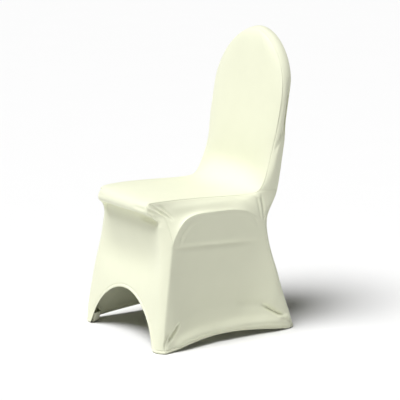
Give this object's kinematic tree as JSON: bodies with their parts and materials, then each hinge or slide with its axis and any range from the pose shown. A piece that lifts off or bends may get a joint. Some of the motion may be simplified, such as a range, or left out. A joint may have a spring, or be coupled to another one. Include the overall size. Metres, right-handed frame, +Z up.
{
  "type": "banquet chair cover",
  "caption": "Fitted stretch-knit cover for a round-top banquet chair, hollow, with an arched front hem and foot pockets.",
  "frame": {"origin": "on the floor under the middle of the cover's bounding box", "axes": "+Z up; the front of the seat looks along -Y; +X points to the right as seen from the front"},
  "size_m": [0.4538, 0.5528, 0.9343],
  "materials": {
    "ivory_knit": "smooth stretch knit, soft satin look",
    "pocket_cloth": "denser matt knit"
  },
  "bodies": {
    "root": {"front_and_seat_panel": "ivory_knit", "back_panel": "ivory_knit", "side_panel_right": "ivory_knit", "side_panel_left": "ivory_knit", "foot_pocket_front_right": "pocket_cloth", "foot_pocket_front_left": "pocket_cloth", "foot_pocket_rear_right": "pocket_cloth", "foot_pocket_rear_left": "pocket_cloth"}
  },
  "joints": []
}
